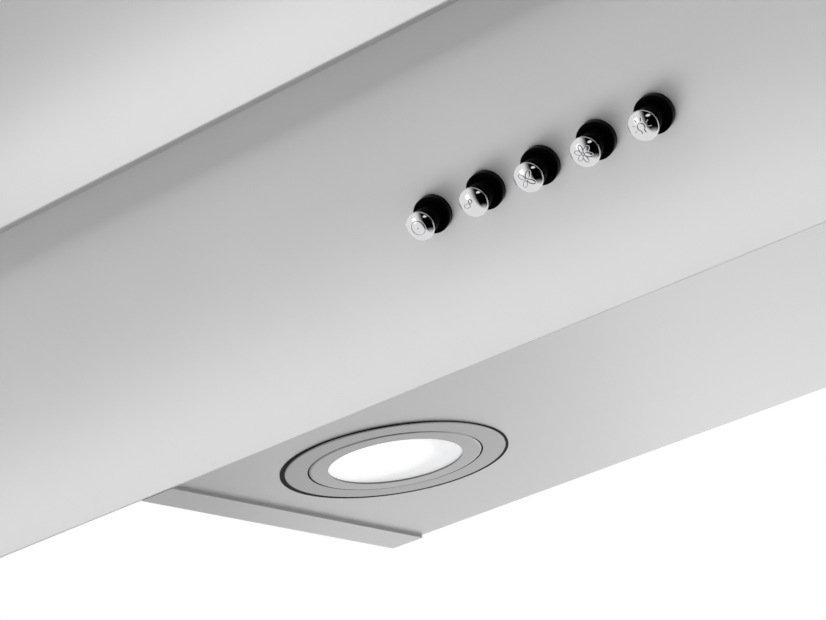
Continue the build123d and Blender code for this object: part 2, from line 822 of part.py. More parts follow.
def outlet_collar():
    """Turned collar: flange, tube and the inner step that the flaps close on."""
    seat_top = flap_pin_height - flap_thickness / 2 - duct_seat_gap
    seat_bottom = seat_top - duct_seat_thickness
    body = ring_of([
        (duct_bore, 0),
        (duct_radius + duct_flange_width, 0),
        (duct_radius + duct_flange_width, duct_flange_thickness),
        (duct_radius, duct_flange_thickness),
        (duct_radius, duct_height),
        (duct_bore, duct_height),
        (duct_bore, seat_top),
        (duct_bore - duct_seat, seat_top),
        (duct_bore - duct_seat, seat_bottom),
        (duct_bore, seat_bottom),
    ])
    body = Pos(duct_place) * body - pin_hole(flap_pin_radius, pin_half)
    above = [(x, y, z + duct_flange_thickness) for x, y, z in duct_screws]
    return drill(body, above, (0, 0, -1), screw_radius, duct_flange_thickness)


def flap(side, eyes):
    """Half disc with eyes around the pin, on the side -1 or 1 of it."""
    half = flap_thickness / 2
    reach = duct_bore - flap_play
    plate = rod(reach, -half, half)
    plate = plate - block(-reach, reach, -reach, flap_root, -half, half)
    for x in eyes:
        eye = Pos(x, 0, 0) * Rot(0, 90, 0) * Cylinder(flap_eye_radius, flap_eye_length)
        web = block(x - flap_eye_length / 2, x + flap_eye_length / 2, 0, 2 * flap_root, -half, half)
        plate = plate + eye + web
    if side < 0:
        plate = mirror(plate, Plane.XZ)
    return Pos(0, outlet_y, pin_level) * plate - pin_hole(flap_pin_radius + flap_clearance, duct_bore)


parts["outlet_collar"] = outlet_collar()
parts["flap_pin"] = pin_hole(flap_pin_radius, pin_half)
parts["flap_front"] = flap(-1, (-2 * flap_eye_pitch, 0, 2 * flap_eye_pitch))
parts["flap_back"] = flap(1, (-flap_eye_pitch, flap_eye_pitch))

# Electrics: junction box and capacitor on the back panel, cable gland in the top panel
box_right = body_width / 2 - side_sheet - box_inset
box_left = box_right - box_width
box_bottom = underside + box_lift
junction_box = block(box_left, box_right, -sheet - box_depth, -sheet, box_bottom, box_bottom + box_height)
junction_box = fillet(junction_box.edges().filter_by(Axis.Y), box_round)
parts["junction_box"] = fillet(junction_box.faces().sort_by(Axis.Y)[0].edges(), box_round / 2)

capacitor_place = ((box_left + box_right) / 2, -sheet, box_bottom - capacitor_gap - capacitor_radius)
capacitor_can = rod(capacitor_radius, 0, capacitor_length)
capacitor_can = fillet(capacitor_can.faces().sort_by(Axis.Z)[-1].edges(), capacitor_round)
parts["capacitor"] = Plane(origin=capacitor_place, z_dir=(0, -1, 0)) * capacitor_can

gland_head = rod(gland_head_radius, 0, gland_head_height)
gland_head = fillet(gland_head.faces().sort_by(Axis.Z)[-1].edges(), gland_round)
gland = gland_head + rod(gland_radius, -sheet - gland_stub, 0)
parts["cable_gland"] = Pos(gland_place) * (gland - rod(gland_bore, -sheet - gland_stub, gland_head_height))


# Telescopic chimney: two U covers, wall bracket and screws
def cover(side, front, back, bottom, lip_top):
    """Sheet cover open at the back, with two lips that turn in along the wall."""
    cover_top = bottom + chimney_height
    shell = block(-side, side, front, back, bottom, cover_top)
    shell = shell - block(sheet - side, side - sheet, front + sheet, back, bottom, cover_top)
    for x in both_sides(side - chimney_lip / 2):
        shell = shell + block(x - chimney_lip / 2, x + chimney_lip / 2, back - sheet, back, bottom, lip_top)
    return shell


chimney_top = top + chimney_height
lower_cover = cover(chimney_width / 2, -chimney_depth, 0, top, chimney_top)
screw_axes = [(x, y, chimney_screw_z) for x in both_sides(chimney_width / 2) for y in chimney_screw_y]
across = Rot(0, 90, 0)
parts["lower_chimney"] = lower_cover - [
    Pos(axis) * across * Cylinder(screw_radius, chimney_lip) for axis in screw_axes
]

upper_side = chimney_inside - chimney_play
upper_front = -chimney_depth + sheet + chimney_play
upper_back = -sheet - chimney_play
upper_bottom = top + chimney_rise
upper_top = upper_bottom + chimney_height
bracket_top = upper_top - bracket_drop
bracket_bottom = bracket_top - bracket_height
bracket_middle = (bracket_top + bracket_bottom) / 2
bracket_axes = [(x, -bracket_screw_setback, bracket_middle) for x in both_sides(upper_side)]
upper_cover = cover(upper_side, upper_front, upper_back, upper_bottom, bracket_bottom - bracket_sheet)
upper_cover = upper_cover - [
    Pos(axis) * across * Cylinder(screw_radius, chimney_lip) for axis in bracket_axes
]
for i in range(vent_count):
    y = -chimney_depth / 2 + (i - (vent_count - 1) / 2) * vent_pitch
    slot = extrude(Plane.YZ * SlotOverall(vent_height, vent_width, rotation=90), upper_side, both=True)
    upper_cover = upper_cover - Pos(0, y, upper_top - vent_drop) * slot
parts["upper_chimney"] = upper_cover

bracket_side = upper_side - sheet
bracket = block(-bracket_side, bracket_side, -bracket_sheet, 0, bracket_bottom, bracket_top)
for x in both_sides(bracket_side - bracket_sheet / 2):
    bracket = bracket + block(
        x - bracket_sheet / 2, x + bracket_sheet / 2, -bracket_tab, 0, bracket_bottom, bracket_top,
    )
bracket = bracket - [Pos(axis) * across * Cylinder(screw_radius, bracket_tab) for axis in bracket_axes]
bracket_holes = [(x, 0, bracket_middle) for x in both_sides(bracket_hole_spacing / 2)]
parts["chimney_bracket"] = drill(bracket, bracket_holes, (0, -1, 0), bracket_hole_radius, bracket_sheet)

# Lamps in the tray. Heights are measured up from the tray's underside
glass_seat = glass_inset - bezel_proud
bezel_bore = bezel_radius + bezel_play
shoulder_radius = bezel_bore + lamp_wall
can_seat = lamp_spigot_depth + lamp_wall


def lowest_rim(solid, radius):
    """Lowest round edge of that radius."""
    circles = solid.edges().filter_by(GeomType.CIRCLE)
    return circles.filter_by(lambda edge: abs(edge.radius - radius) < seam).sort_by(Axis.Z)[:1]


def lamp_seal():
    """Black rubber washer between the tray and the ring's flange, a little wider than the flange."""
    return rod(seal_radius, -seal_thickness, 0) - rod(lamp_hole_radius, -seal_thickness, 0)


def lamp_ring():
    """Satin ring: a flange under the seal and a short tube through the tray."""
    ring = ring_of([
        (bezel_bore, -lamp_proud),
        (lamp_radius, -lamp_proud),
        (lamp_radius, -seal_thickness),
        (shoulder_radius, -seal_thickness),
        (shoulder_radius, lamp_spigot_depth),
        (bezel_bore, lamp_spigot_depth),
    ])
    return fillet(lowest_rim(ring, lamp_radius), lamp_edge_round)


def lamp_bezel():
    """Bright inner ring with a lip that holds the glass and a shoulder on the outer ring's tube."""
    bezel = ring_of([
        (glass_radius - glass_lip, -bezel_proud),
        (bezel_radius, -bezel_proud),
        (bezel_radius, lamp_spigot_depth),
        (shoulder_radius, lamp_spigot_depth),
        (shoulder_radius, can_seat),
        (glass_radius, can_seat),
        (glass_radius, glass_seat),
        (glass_radius - glass_lip, glass_seat),
    ])
    return fillet(lowest_rim(bezel, bezel_radius), bezel_round)


def lamp_glass():
    """Round pane with a shallow dished face."""
    sphere = (glass_radius**2 + glass_dish**2) / (2 * glass_dish)
    pane = rod(glass_radius, glass_seat, glass_seat + glass_thickness)
    return pane - Pos(0, 0, glass_seat + glass_dish - sphere) * Sphere(sphere)


def lamp_can():
    """Heat sink with round fins behind the light source."""
    pitch = can_height / (2 * can_fin_count + 1)
    can = rod(can_radius, can_seat, can_seat + can_height)
    for i in range(can_fin_count):
        low = can_seat + (2 * i + 1) * pitch
        can = can - (rod(can_radius, low, low + pitch) - rod(can_radius - can_fin_depth, low, low + pitch))
    return can


def lamp_clip():
    """Leaf spring between the tube and the top of the tray."""
    base = clip_sheet + sheet
    leaf = Polyline(
        (shoulder_radius - clip_sheet, 0, lamp_spigot_depth),
        (shoulder_radius + clip_sheet, 0, lamp_spigot_depth),
        (shoulder_radius + clip_reach, 0, base),
        (shoulder_radius + clip_reach, 0, sheet),
        (shoulder_radius + clip_reach - clip_sheet, 0, sheet),
        (shoulder_radius - clip_sheet, 0, lamp_spigot_depth - clip_sheet), close=True,
    )
    strip = extrude(make_face(leaf), clip_width / 2, dir=(0, 1, 0), both=True)
    return strip - rod(shoulder_radius, 0, lamp_spigot_depth)


for side, place in zip(("left", "right"), lamp_places):
    parts[f"lamp_ring_{side}"] = Pos(place) * lamp_ring()
    parts[f"lamp_bezel_{side}"] = Pos(place) * lamp_bezel()
    parts[f"lamp_glass_{side}"] = Pos(place) * lamp_glass()
    parts[f"lamp_can_{side}"] = Pos(place) * lamp_can()
parts["lamp_seals"] = group(Pos(place) * lamp_seal() for place in lamp_places)
parts["lamp_clips"] = group(
    Pos(place) * Rot(0, 0, angle) * lamp_clip() for place in lamp_places for angle in (0, 180)
)

# Screws
spider_heads = [pan_head_screw(place, (-1, 0, 0)) for place in spider_faces]
collar_heads = [pan_head_screw((x, y, z + duct_flange_thickness), (0, 0, -1)) for x, y, z in duct_screws]
mouth_heads = [pan_head_screw(place, (0, 0, -1)) for place in mouth_screws]
cover_heads = [pan_head_screw(axis, (-axis[0], 0, 0)) for axis in screw_axes]
hinge_heads = [pan_head_screw(place, -panel_plane.z_dir) for place in hinge_screws]
parts["casing_screws"] = group(spider_heads + collar_heads + mouth_heads + cover_heads + hinge_heads)
parts["bracket_screws"] = group(pan_head_screw(axis, (-axis[0], 0, 0)) for axis in bracket_axes)

os.makedirs("parts", exist_ok=True)
for name, solid in parts.items():
    export_step(solid, f"parts/{name}.step")
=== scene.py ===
from math import asin, cos, degrees, pi, radians, sin, sqrt

import bpy
from mathutils import Euler, Matrix, Vector
from mathutils.kdtree import KDTree


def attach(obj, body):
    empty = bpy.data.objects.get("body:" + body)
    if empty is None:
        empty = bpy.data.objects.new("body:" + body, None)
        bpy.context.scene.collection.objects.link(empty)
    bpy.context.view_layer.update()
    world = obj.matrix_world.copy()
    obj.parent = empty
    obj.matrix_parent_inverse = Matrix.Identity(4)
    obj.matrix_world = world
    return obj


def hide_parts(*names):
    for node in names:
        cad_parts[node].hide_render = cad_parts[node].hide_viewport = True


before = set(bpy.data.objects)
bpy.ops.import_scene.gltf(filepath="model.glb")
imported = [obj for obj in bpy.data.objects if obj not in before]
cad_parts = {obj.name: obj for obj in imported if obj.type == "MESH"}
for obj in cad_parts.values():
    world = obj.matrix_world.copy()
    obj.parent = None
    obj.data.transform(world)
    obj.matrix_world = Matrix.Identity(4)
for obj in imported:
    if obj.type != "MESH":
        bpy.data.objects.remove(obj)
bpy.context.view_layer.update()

# The view
# A cook's look up at the hood from the right front, well below it, towards its left lamp. The
# place and the turns were found from the hood's straight edges, its buttons and the lamp.
eye = Vector((0.3693, -0.775, -0.59385))
turned_left = radians(35.298)
looking_up = radians(20.551)
tipped = radians(-9.25)
lens_length = 109.7
camera = bpy.data.objects.new("cook_view", bpy.data.cameras.new("cook_view"))
bpy.context.scene.collection.objects.link(camera)
camera.data.sensor_width = 36.0
camera.data.lens = lens_length
gaze = Euler((pi / 2 + looking_up, 0, turned_left)).to_matrix().to_4x4()
camera.matrix_world = Matrix.Translation(eye) @ gaze @ Matrix.Rotation(tipped, 4, "Z")
bpy.context.scene.camera = camera
bpy.context.scene.view_settings.view_transform = "Standard"


# Room light
# A white studio. Polished metal also shows one dark flag at the front right with a small gap in
# it. Soft boxes out of the picture light the hood, and narrow ones run along it.
class Wire:
    """A socket in a node tree. Arithmetic on it adds Math nodes, and node() adds any other node."""

    def __init__(self, tree, socket=None):
        self.tree = tree
        self.socket = socket

    def node(self, kind, settings=None, sockets=None, out=0):
        """A node of that kind: its settings come first, then the value or wire of each socket."""
        made = self.tree.nodes.new(kind)
        for name, value in (settings or {}).items():
            setattr(made, name, value)
        for name, value in (sockets or {}).items():
            if isinstance(value, Wire):
                self.tree.links.new(value.socket, made.inputs[name])
            else:
                made.inputs[name].default_value = value
        return Wire(self.tree, made.outputs[out] if made.outputs else None)

    def sum_of(self, work, first, second=0.0, clamp=False):
        """One Math node."""
        settings = {"operation": work, "use_clamp": clamp}
        return self.node("ShaderNodeMath", settings, {0: first, 1: second})

    def __add__(self, other):
        return self.sum_of("ADD", self, other)

    def __radd__(self, other):
        return self.sum_of("ADD", other, self)

    def __sub__(self, other):
        return self.sum_of("SUBTRACT", self, other)

    def __rsub__(self, other):
        return self.sum_of("SUBTRACT", other, self)

    def __mul__(self, other):
        return self.sum_of("MULTIPLY", self, other)

    def __rmul__(self, other):
        return self.sum_of("MULTIPLY", other, self)

    def __pow__(self, other):
        return self.sum_of("POWER", self, other)


def ray_kinds(wire, *kinds):
    """1 where the ray is one of those kinds, else 0."""
    rays = wire.node("ShaderNodeLightPath").socket.node
    first, *others = (Wire(wire.tree, rays.outputs[kind]) for kind in kinds)
    for other in others:
        first = wire.sum_of("ADD", first, other, clamp=True)
    return first


def rises(wire, start, end):
    """0 before start, 1 past end, and a soft slope between them. Where end is less, it falls."""
    settings = {"interpolation_type": "SMOOTHSTEP"}
    return wire.node("ShaderNodeMapRange", settings, {"Value": wire, "From Min": start, "From Max": end})


room_level = 0.06
# The flag and its gap, by bearing to the right of the hood's front and by rise over the horizon
flag_left, flag_right = radians(8), radians(80)
flag_low, flag_high = radians(-60), radians(40)
left_blur, right_blur = radians(30), radians(25)
low_blur, high_blur = radians(35), radians(10)
gap_bearing, gap_rise = radians(20), radians(-12)
gap_reach, gap_core, gap_squeeze = radians(12), 0.6, 2.0

world = bpy.data.worlds.new("studio")
bpy.context.scene.world = world
world.use_nodes = True
world.node_tree.nodes.clear()
sky = Wire(world.node_tree)
way = sky.node("ShaderNodeTexCoord", out="Generated")
split = way.node("ShaderNodeSeparateXYZ", {}, {0: way}).socket.node
east, north, up = (Wire(sky.tree, split.outputs[axis]) for axis in "XYZ")
bearing = sky.sum_of("ARCTAN2", east, -1 * north)
rise = sky.sum_of("ARCSINE", up)
flag = rises(bearing, flag_left - left_blur, flag_left)
flag = flag * rises(bearing, flag_right + right_blur, flag_right)
flag = flag * rises(rise, flag_low - low_blur, flag_low)
flag = flag * rises(rise, flag_high + high_blur, flag_high)
from_gap = ((bearing - gap_bearing) ** 2 + ((rise - gap_rise) * gap_squeeze) ** 2) ** 0.5
flag = flag * rises(from_gap, gap_reach * gap_core, gap_reach)
shown = ray_kinds(sky, "Is Camera Ray", "Is Glossy Ray", "Is Transmission Ray")
flagged = flag * ray_kinds(sky, "Is Glossy Ray")
level = shown * (1 - flagged) + (1 - shown) * room_level
glow = sky.node("ShaderNodeBackground", {}, {"Color": (1, 1, 1, 1), "Strength": level})
sky.node("ShaderNodeOutputWorld", {}, {"Surface": glow})


def soft_box(name, place, target, width, height, power):
    """An area lamp that faces its target and stays out of the picture."""
    lamp = bpy.data.objects.new(name, bpy.data.lights.new(name, "AREA"))
    bpy.context.scene.collection.objects.link(lamp)
    lamp.data.shape = "RECTANGLE"
    lamp.data.size = width
    lamp.data.size_y = height
    lamp.data.energy = power
    lamp.location = place
    lamp.rotation_euler = (Vector(target) - Vector(place)).to_track_quat("-Z", "Y").to_euler()
    lamp.visible_camera = False
    return lamp


panel_edge = Vector((0, -0.2214, -0.2521))
fascia_foot = Vector((0, -0.1427, -0.330))
hood_middle = Vector((0, -0.2, -0.27))
strip_width = 0.04


def strip_light(name, forward, below, target, watts_per_metre, left, right):
    """A long narrow box, that far before the wall and below the fixing line, from left to right."""
    middle = (left + right) / 2
    place = (middle, -forward, -below)
    toward = (middle, target.y, target.z)
    length = right - left
    return soft_box(name, place, toward, length, strip_width, watts_per_metre * length)


soft_box("left_key", (-0.7855, -1.3217, -0.5611), hood_middle, width=0.45, height=0.45, power=0.5)
soft_box("under_back", (0, 0.619, -0.844), hood_middle, width=1.1, height=0.7, power=2.5)
soft_box("under_left", (-0.492, 0.653, -0.444), hood_middle, width=0.5, height=0.3, power=0.4)
soft_box("top", (0.2, -0.3, 2.2), (0, -0.15, 0.0), width=1.2, height=1.2, power=8.5)
soft_box("wall_side", (-0.5, 1.8, 0.6), (0, 0, 0.05), width=1.0, height=1.0, power=8.0)
soft_box("left_side", (-1.9, 0.05, 0.3), (-0.3, -0.15, 0), width=0.9, height=0.9, power=6.5)
soft_box("right_side", (1.9, 0.05, 0.3), (0.3, -0.15, 0), width=0.9, height=0.9, power=6.5)
panel_strips = [
    strip_light("panel_near", 0.32, 0.27, panel_edge, watts_per_metre=0.19, left=-0.35, right=0.7),
    strip_light("panel_low", 0.40, 0.34, panel_edge, watts_per_metre=0.17625, left=-0.35, right=0.7),
]
fascia_strips = [
    strip_light("fascia_low", 0.27, 0.52, fascia_foot, watts_per_metre=0.2, left=-0.7, right=0.4),
    strip_light("fascia_middle", 0.28, 0.46, fascia_foot, watts_per_metre=0.1375, left=-0.7, right=0.4),
    strip_light("fascia_near", 0.22, 0.41, fascia_foot, watts_per_metre=0.085, left=-0.7, right=0.4),
]
front_strips = [
    strip_light("front_high", 0.50, 0.20, panel_edge, watts_per_metre=0.525, left=-0.4, right=0.4),
    strip_light("front_low", 0.36, 0.20, panel_edge, watts_per_metre=0.3125, left=-0.4, right=0.4),
]


# Floor
# A pale sheet well below the hood. It keeps the hood's shadow, is lifted to white for the lens,
# and is clear from beneath.
floor_level = -1.8
floor_reach = 6.0
floor_tone = 0.45
floor_lift = 0.9


def surface(name):
    """A material, and the wire that its nodes are added from."""
    material = bpy.data.materials.new(name)
    material.use_nodes = True
    material.node_tree.nodes.clear()
    return material, Wire(material.node_tree)


def built(name, points, faces, smooth=True):
    """A mesh object from its points and faces."""
    mesh = bpy.data.meshes.new(name)
    mesh.from_pydata([tuple(point) for point in points], [], faces)
    mesh.polygons.foreach_set("use_smooth", [smooth] * len(mesh.polygons))
    mesh.update()
    piece = bpy.data.objects.new(name, mesh)
    bpy.context.scene.collection.objects.link(piece)
    return piece


ways_out = ((-1, -1), (1, -1), (1, 1), (-1, 1))
corners = [(x * floor_reach, y * floor_reach, floor_level) for x, y in ways_out]
floor = built("pale_floor", corners, [(0, 1, 2, 3)], smooth=False)
paper, w = surface("pale_floor")
lit = w.node("ShaderNodeBsdfDiffuse", {}, {"Color": (floor_tone, floor_tone, floor_tone, 1)})
lift_level = ray_kinds(w, "Is Camera Ray") * floor_lift
lift = w.node("ShaderNodeEmission", {}, {"Color": (1, 1, 1, 1), "Strength": lift_level})
sheet = w.node("ShaderNodeAddShader", {}, {0: lit, 1: lift})
clear = w.node("ShaderNodeBsdfTransparent")
beneath = w.node("ShaderNodeNewGeometry", out="Backfacing")
seen = w.node("ShaderNodeMixShader", {}, {0: beneath, 1: sheet, 2: clear})
w.node("ShaderNodeOutputMaterial", {}, {"Surface": seen})
floor.data.materials.append(paper)
floor.visible_glossy = False


# Front panel
# One flat door of folded steel sheet, powder coated in satin silver-grey. The same coat is on the
# control fascia, the casing and the two chimney covers, which are folded from the same sheet.
def principled(wire, sockets):
    """The usual surface shader, linked to the output."""
    shader = wire.node("ShaderNodeBsdfPrincipled", {}, sockets)
    wire.node("ShaderNodeOutputMaterial", {}, {"Surface": shader})


def grain(wire, size, detail=2.0, stretch=(1, 1, 1)):
    """Noise whose lumps are about that size in metres, drawn out by the stretch."""
    place = wire.node("ShaderNodeTexCoord", out="Object")
    scale = tuple(1 / (size * s) for s in stretch)
    spread = wire.node("ShaderNodeVectorMath", {"operation": "MULTIPLY"}, {0: place, 1: scale})
    return wire.node("ShaderNodeTexNoise", {}, {"Vector": spread, "Scale": 1.0, "Detail": detail})


def cells(wire, size, feature="F1", out="Distance"):
    """Cells of about that size in metres."""
    place = wire.node("ShaderNodeTexCoord", out="Object")
    settings = {"feature": feature}
    return wire.node("ShaderNodeTexVoronoi", settings, {"Vector": place, "Scale": 1 / size}, out)


def shades(wire, factor, first, second):
    """A colour between two, by the factor."""
    settings = {"data_type": "RGBA"}
    sockets = {0: factor, 6: (*first, 1), 7: (*second, 1)}
    return wire.node("ShaderNodeMix", settings, sockets, out=2)


def relief(wire, height, depth):
    """A bump as deep as that in metres, for the Normal socket."""
    return wire.node("ShaderNodeBump", {}, {"Height": height, "Distance": depth, "Strength": 1.0})


def dress(material, *names):
    """Gives CAD nodes their finish."""
    for name in names:
        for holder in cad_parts[name].material_slots:
            holder.material = material


coat_tone, coat_drift = 0.62, 0.015
coat_metal = 0.3
coat_rough, coat_haze = 0.34, 0.04
coat, w = surface("satin_powder_coat")
cloud = grain(w, 0.06, 3.0)
peel = grain(w, 0.0016, 1.0) + grain(w, 0.007, 1.0) * 2
darker, paler = coat_tone * (1 - coat_drift), coat_tone * (1 + coat_drift)
principled(w, {
    "Base Color": shades(w, rises(cloud, 0.3, 0.7), (darker, darker, darker), (paler, paler, paler)),
    "Roughness": coat_rough + cloud * coat_haze,
    "Metallic": coat_metal,
    "Normal": relief(w, peel, 0.000004),
})
dress(coat, "front_panel")


# Panel liner and plated sheet parts
# Zinc plated sheet, cut and folded and left bare, with the faint flower of the plating and the
# rolling lines of the strip.
zinc, w = surface("zinc_plated_sheet")
flower = cells(w, 0.011, out="Color")
flower = w.node("ShaderNodeSeparateColor", {}, {0: flower}, out="Red")
rolling = grain(w, 0.0006, 2.0, (1, 1, 60))
tone = flower * 0.7 + rolling * 0.3
principled(w, {
    "Base Color": shades(w, tone, (0.53, 0.54, 0.55), (0.66, 0.67, 0.68)),
    "Roughness": 0.34 + tone * 0.14,
    "Metallic": 1.0,
    "Normal": relief(w, rolling + flower * 0.5, 0.000012),
})
dress(zinc, "panel_liner", "back_panel", "top_panel", "filter_wall")
dress(zinc, "chimney_bracket", "switch_bracket", "motor_spider")


# Control fascia
# A folded sheet pan under the panel, tilted towards the cook, pierced for five push buttons. It is
# coated like the panel and lies on flanges of the two side panels.
dress(coat, "control_fascia")


# Casing
# Two folded side panels and the lamp tray that closes the underside, of the same coated sheet.
# The back and top panels between them are plated.
dress(coat, "side_panel_left", "side_panel_right", "lamp_tray")


# Push buttons
# Five round buttons: a moulded black collar pressed into the fascia, a black stem, and a domed
# chromed cap with its sign sunk into the crown. Each cap rides on its own button.
fascia_tilt = radians(37.7)
up_slope = Vector((0, -sin(fascia_tilt), cos(fascia_tilt)))
out_of_fascia = Vector((0, -cos(fascia_tilt), -sin(fascia_tilt)))
facing = Matrix((Vector((1, 0, 0)), up_slope, out_of_fascia)).transposed()
button_pitch = 0.021
button_row = 0.051
button_count = 5
turned_sides = 168

black, w = surface("black_moulding")
haze = grain(w, 0.003, 2.0)
principled(w, {
    "Base Color": shades(w, haze, (0.001, 0.001, 0.001), (0.003, 0.003, 0.003)),
    "Roughness": 0.08 + haze * 0.06,
    "IOR": 1.12,
    "Specular IOR Level": 0.08,
    "Normal": relief(w, haze, 0.000004),
})
buttons = range(1, button_count + 1)
dress(black, *[f"button_stem_{i}" for i in buttons])


def button_place(i, high):
    """A point on the axis of that button, so high over the fascia."""
    across = (i - (button_count + 1) / 2) * button_pitch
    return fascia_foot + Vector((across, 0, 0)) + up_slope * button_row + out_of_fascia * high


def turned(profile, sides, first=0):
    """Points and faces of a ring turned from a closed profile of (reach, height) pairs."""
    points, faces = [], []
    for reach, high in profile:
        for k in range(sides):
            angle = 2 * pi * k / sides
            points.append(Vector((reach * cos(angle), reach * sin(angle), high)))
    for ring in range(len(profile)):
        here, there = first + ring * sides, first + (ring + 1) % len(profile) * sides
        for k in range(sides):
            after = (k + 1) % sides
            faces.append((here + k, here + after, there + after, there + k))
    return points, faces


def rounded(centre, radius, start, end, steps=6):
    """Points of (reach, height) on a rounded corner, between two angles."""
    for k in range(steps + 1):
        angle = radians(start + (end - start) * k / steps)
        yield centre[0] + radius * cos(angle), centre[1] + radius * sin(angle)


collar_radius = 0.0061
collar_height = 0.0036
collar_round = 0.0009
collar_bore = 0.0044
collar_lip = 0.0002
outer_corner = (collar_radius - collar_round, collar_height - collar_round)
inner_corner = (collar_bore + collar_lip, collar_height - collar_lip)
collar_profile = [
    (collar_radius, 0),
    *rounded(outer_corner, collar_round, 0, 90),
    *rounded(inner_corner, collar_lip, 90, 180),
    (collar_bore, 0),
]
points, faces = [], []
for i in buttons:
    ring, sides = turned(collar_profile, turned_sides, len(points))
    points += [button_place(i, 0) + facing @ point for point in ring]
    faces += sides
collars = built("black_collars", points, faces)
collars.data.materials.append(black)
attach(collars, "casing")
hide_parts("button_collars")

chrome, w = surface("polished_chrome")
haze = grain(w, 0.002, 2.0)
sunk = w.node("ShaderNodeAttribute", {"attribute_name": "sunk"}, out="Fac")
principled(w, {
    # The sunk sign is rougher, as etched chrome is, and coloured darker: painted shade in its grooves.
    "Base Color": shades(w, sunk, (0.70, 0.70, 0.71), (0.30, 0.30, 0.31)),
    "Roughness": 0.03 + haze * 0.03 + sunk * 0.22,
    "Metallic": 1.0,
    "Normal": relief(w, haze, 0.000003),
})

cap_seat = 0.0096
cap_radius = 0.0048
cap_skirt = 0.00445
cap_seam = 0.0016
cap_wall = 0.0022
cap_crown = 0.0015
cap_edge = 0.00035
crown_sphere = (cap_radius**2 + cap_crown**2) / (2 * cap_crown)
crown_rim = cap_radius - cap_edge * (1 - cap_radius / crown_sphere)
crown_rings, crown_crowding = 64, 0.9
crease = radians(50)

# The signs, sunk into the crown
sign_depth = 0.00012
sign_line = 0.00018
sign_step = 0.00008
sign_edge = 4
blade_root, blade_tip, blade_width = 0.0004, 0.0029, 0.0013
low_root, low_width = 0.0005, 0.0014
hub_right, hub_rise, hub_radius = 0.0001, 0.0010, 0.0006
stop_radius = 0.0023
bulb_rise, bulb_radius, bulb_open = 0.0002, 0.0012, 80
neck_start, neck_end = 0.0007, 0.0018
ray_start, ray_end, ray_angles = 0.0021, 0.0029, range(-15, 196, 42)


def arc_line(centre, across, high, start=0, sweep=360, turn=0):
    """Points along an ellipse or a part of one, closer together than the line is wide."""
    count = max(8, round(2 * pi * max(across, high) * abs(sweep) / 360 / sign_step))
    lean = radians(turn)
    for k in range(count + 1):
        angle = radians(start + sweep * k / count)
        x, y = across * cos(angle), high * sin(angle)
        yield centre[0] + x * cos(lean) - y * sin(lean), centre[1] + x * sin(lean) + y * cos(lean)


def ray_line(angle, near, far, centre=(0, 0)):
    """Points along a short ray."""
    count = max(2, round((far - near) / sign_step))
    for k in range(count + 1):
        reach = near + (far - near) * k / count
        yield centre[0] + reach * cos(radians(angle)), centre[1] + reach * sin(radians(angle))


def blade(angle, near, far, width):
    """The outline of one fan blade, pointing that way from the hub."""
    middle = (near + far) / 2
    centre = (middle * cos(radians(angle)), middle * sin(radians(angle)))
    return arc_line(centre, (far - near) / 2, width / 2, turn=angle)


def fan_sign(count, first):
    """That many blades round a hub."""
    for k in range(count):
        yield from blade(first + 360 * k / count, blade_root, blade_tip, blade_width)


def lamp_sign():
    """A bulb, open at its neck, with short rays round it."""
    opening = {"start": bulb_open / 2 - 90, "sweep": 360 - bulb_open}
    yield from arc_line((0, bulb_rise), bulb_radius, bulb_radius, **opening)
    for side in (-bulb_radius / 2, bulb_radius / 2):
        yield from ray_line(-90, neck_start, neck_end, (side, 0))
    for angle in ray_angles:
        yield from ray_line(angle, ray_start, ray_end)


def stop_sign():
    """A ring round a dot."""
    yield from arc_line((0, 0), stop_radius, stop_radius)
    yield from arc_line((0, 0), sign_line / 2, sign_line / 2)


def low_sign():
    """One broad blade beside its hub."""
    yield from blade(180, low_root, blade_tip, low_width)
    yield from arc_line((hub_right, hub_rise), hub_radius, hub_radius)


def crown_height(reach):
    """Height of the crown over the cap's seat, that far from its middle."""
    return cap_wall + cap_crown - crown_sphere + sqrt(crown_sphere**2 - reach**2)


